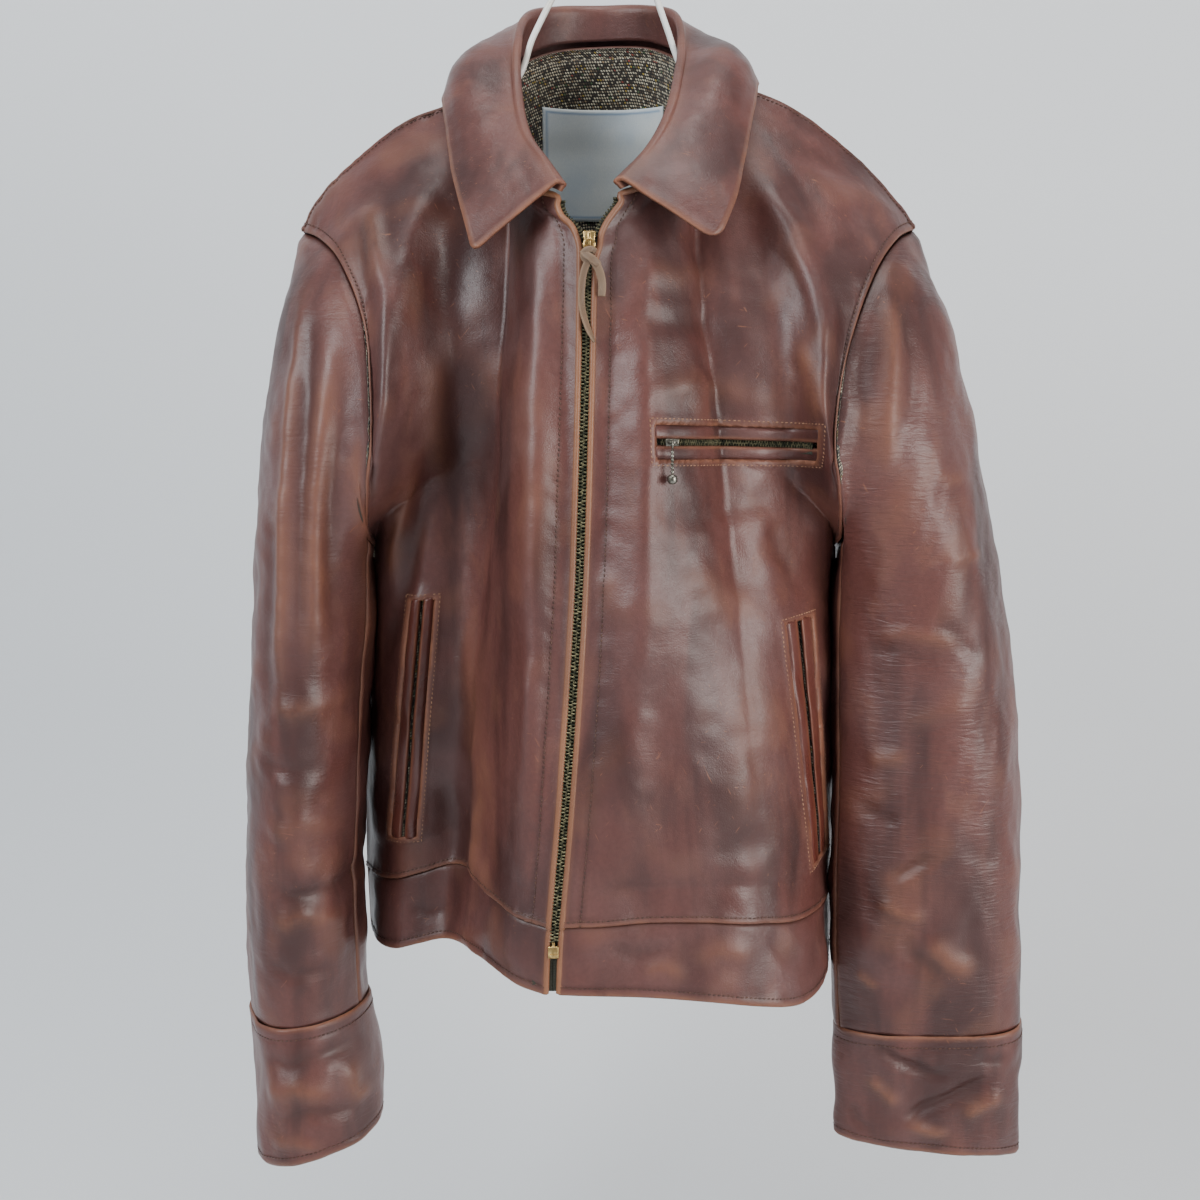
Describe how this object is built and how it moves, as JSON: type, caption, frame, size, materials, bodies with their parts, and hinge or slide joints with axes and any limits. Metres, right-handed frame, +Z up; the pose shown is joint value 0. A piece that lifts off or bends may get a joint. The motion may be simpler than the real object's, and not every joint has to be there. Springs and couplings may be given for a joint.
{
  "type": "worn leather jacket on a wire hanger",
  "caption": "Worn zip-front leather jacket with a turned-down collar, welted pockets and cuffs, hanging on a coated wire hanger by its hook.",
  "frame": {"origin": "the point inside the hanger's hook that rests on a rail", "axes": "+X to the right of someone who looks at the jacket's front, +Y into the jacket's back, +Z up"},
  "size_m": [0.5724, 0.2268, 0.9542],
  "materials": {
    "hide": "oiled, worn, semi gloss",
    "lace": "dry worn lace",
    "zip_tape": "matt woven tape",
    "zip_teeth": "dull aged brass",
    "zip_brass": "worn",
    "old_metal": "dull aged nickel",
    "hanger_wire": "smooth white coating",
    "tweed": "rough flecked weave",
    "label_cloth": "woven satin"
  },
  "bodies": {
    "root": {"front_right": "hide", "front_left": "hide", "back": "hide", "top_sleeve_right": "hide", "under_sleeve_right": "hide", "top_sleeve_left": "hide", "under_sleeve_left": "hide", "cuff_right": "hide", "cuff_left": "hide", "hem_band_front_right": "hide", "hem_band_front_left": "hide", "hem_band_back": "hide", "collar": "hide", "breast_welt_upper": "hide", "breast_welt_lower": "hide", "hand_welt_right_outer": "hide", "hand_welt_right_inner": "hide", "hand_welt_left_inner": "hide", "hand_welt_left_outer": "hide", "zip_tape_right": "zip_tape", "zip_tape_left": "zip_tape", "zip_chain": "zip_teeth", "breast_zip_chain": "zip_teeth", "zip_slider": "zip_brass", "zip_bottom_box": "zip_brass", "breast_zip_slider": "old_metal", "hanger_arms": "hanger_wire", "hanger_hook": "hanger_wire", "neck_lining": "tweed", "neck_label": "label_cloth"},
    "zip_pull": {"zip_pull_ring": "zip_brass", "pull_knot": "lace", "pull_lace_long": "lace", "pull_lace_short": "lace"},
    "breast_pull": {"breast_pull_ring": "old_metal", "breast_pull_beads": "old_metal"}
  },
  "joints": [
    {"name": "zip_pull_hinge", "type": "hinge", "parent": "root", "child": "zip_pull", "pos_m": [-0.01682, -0.11265, -0.29404], "axis": [-1, 0, 0], "range_deg": [0, 90]},
    {"name": "breast_pull_hinge", "type": "hinge", "parent": "root", "child": "breast_pull", "pos_m": [0.03613, -0.12655, -0.42232], "axis": [-1, 0, 0], "range_deg": [0, 90]}
  ]
}
